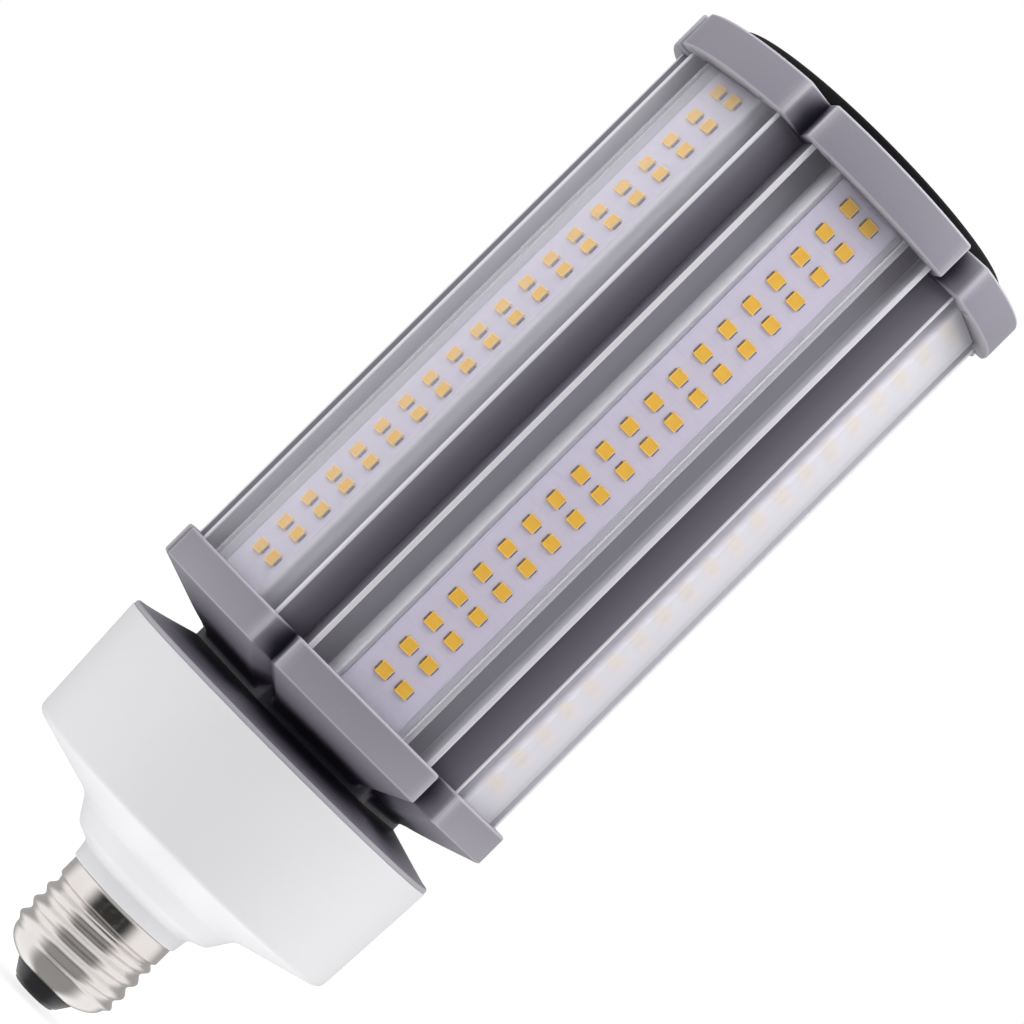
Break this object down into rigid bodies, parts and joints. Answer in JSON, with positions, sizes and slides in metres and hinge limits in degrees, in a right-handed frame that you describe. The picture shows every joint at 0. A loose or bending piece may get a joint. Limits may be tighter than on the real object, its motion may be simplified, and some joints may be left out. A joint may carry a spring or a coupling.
{
  "type": "led corn lamp",
  "caption": "Tall hexagonal LED lamp: finned aluminium strips with LED boards under clear covers, grey end caps, white driver drum and threaded screw base.",
  "frame": {"origin": "on the lamp's axis, in the plane where the metal screw shell meets the white housing", "axes": "+Z along the axis from the base to the top, -Y out through the middle of one flat side"},
  "size_m": [0.0858, 0.0862, 0.2289],
  "materials": {
    "nickel": "nickelled sheet, polished",
    "insulator_black": "black glass, glossy",
    "contact_metal": "tinned, dull",
    "housing_white": "white moulding, satin",
    "cap_grey": "dark grey moulding, fine grain",
    "cover_black": "black moulding, satin",
    "anodised_aluminium": "extruded, anodised",
    "board_white": "white solder mask, satin",
    "led_phosphor": "yellow phosphor in a white package",
    "clear_plastic": "clear extrusion, glossy",
    "zinc_steel": "zinc plated",
    "circuit_board": "green solder mask",
    "ferrite": "dark grey, taped winding",
    "capacitor_sleeve": "dark shrink sleeve",
    "wire_red": "red insulation",
    "wire_white": "white flat twin insulation"
  },
  "bodies": {
    "root": {"base_insulator": "insulator_black", "bulk_capacitors": "capacitor_sleeve", "centre_contact": "contact_metal", "clear_cover_1": "clear_plastic", "clear_cover_2": "clear_plastic", "clear_cover_3": "clear_plastic", "clear_cover_4": "clear_plastic", "clear_cover_5": "clear_plastic", "clear_cover_6": "clear_plastic", "contact_lead": "wire_red", "driver_board": "circuit_board", "driver_housing": "housing_white", "driver_screws": "zinc_steel", "filter_choke": "ferrite", "fin_profile_1": "anodised_aluminium", "fin_profile_2": "anodised_aluminium", "fin_profile_3": "anodised_aluminium", "fin_profile_4": "anodised_aluminium", "fin_profile_5": "anodised_aluminium", "fin_profile_6": "anodised_aluminium", "funnel_cover": "cap_grey", "led_board_1": "board_white", "led_board_2": "board_white", "led_board_3": "board_white", "led_board_4": "board_white", "led_board_5": "board_white", "led_board_6": "board_white", "leds_1": "led_phosphor", "leds_2": "led_phosphor", "leds_3": "led_phosphor", "leds_4": "led_phosphor", "leds_5": "led_phosphor", "leds_6": "led_phosphor", "lower_cap": "cap_grey", "screw_shell": "nickel", "shell_lead": "contact_metal", "strip_leads": "wire_white", "tie_nut": "zinc_steel", "tie_rod": "zinc_steel", "top_cover": "cover_black", "transformer": "ferrite", "upper_cap": "cap_grey"}
  },
  "joints": []
}
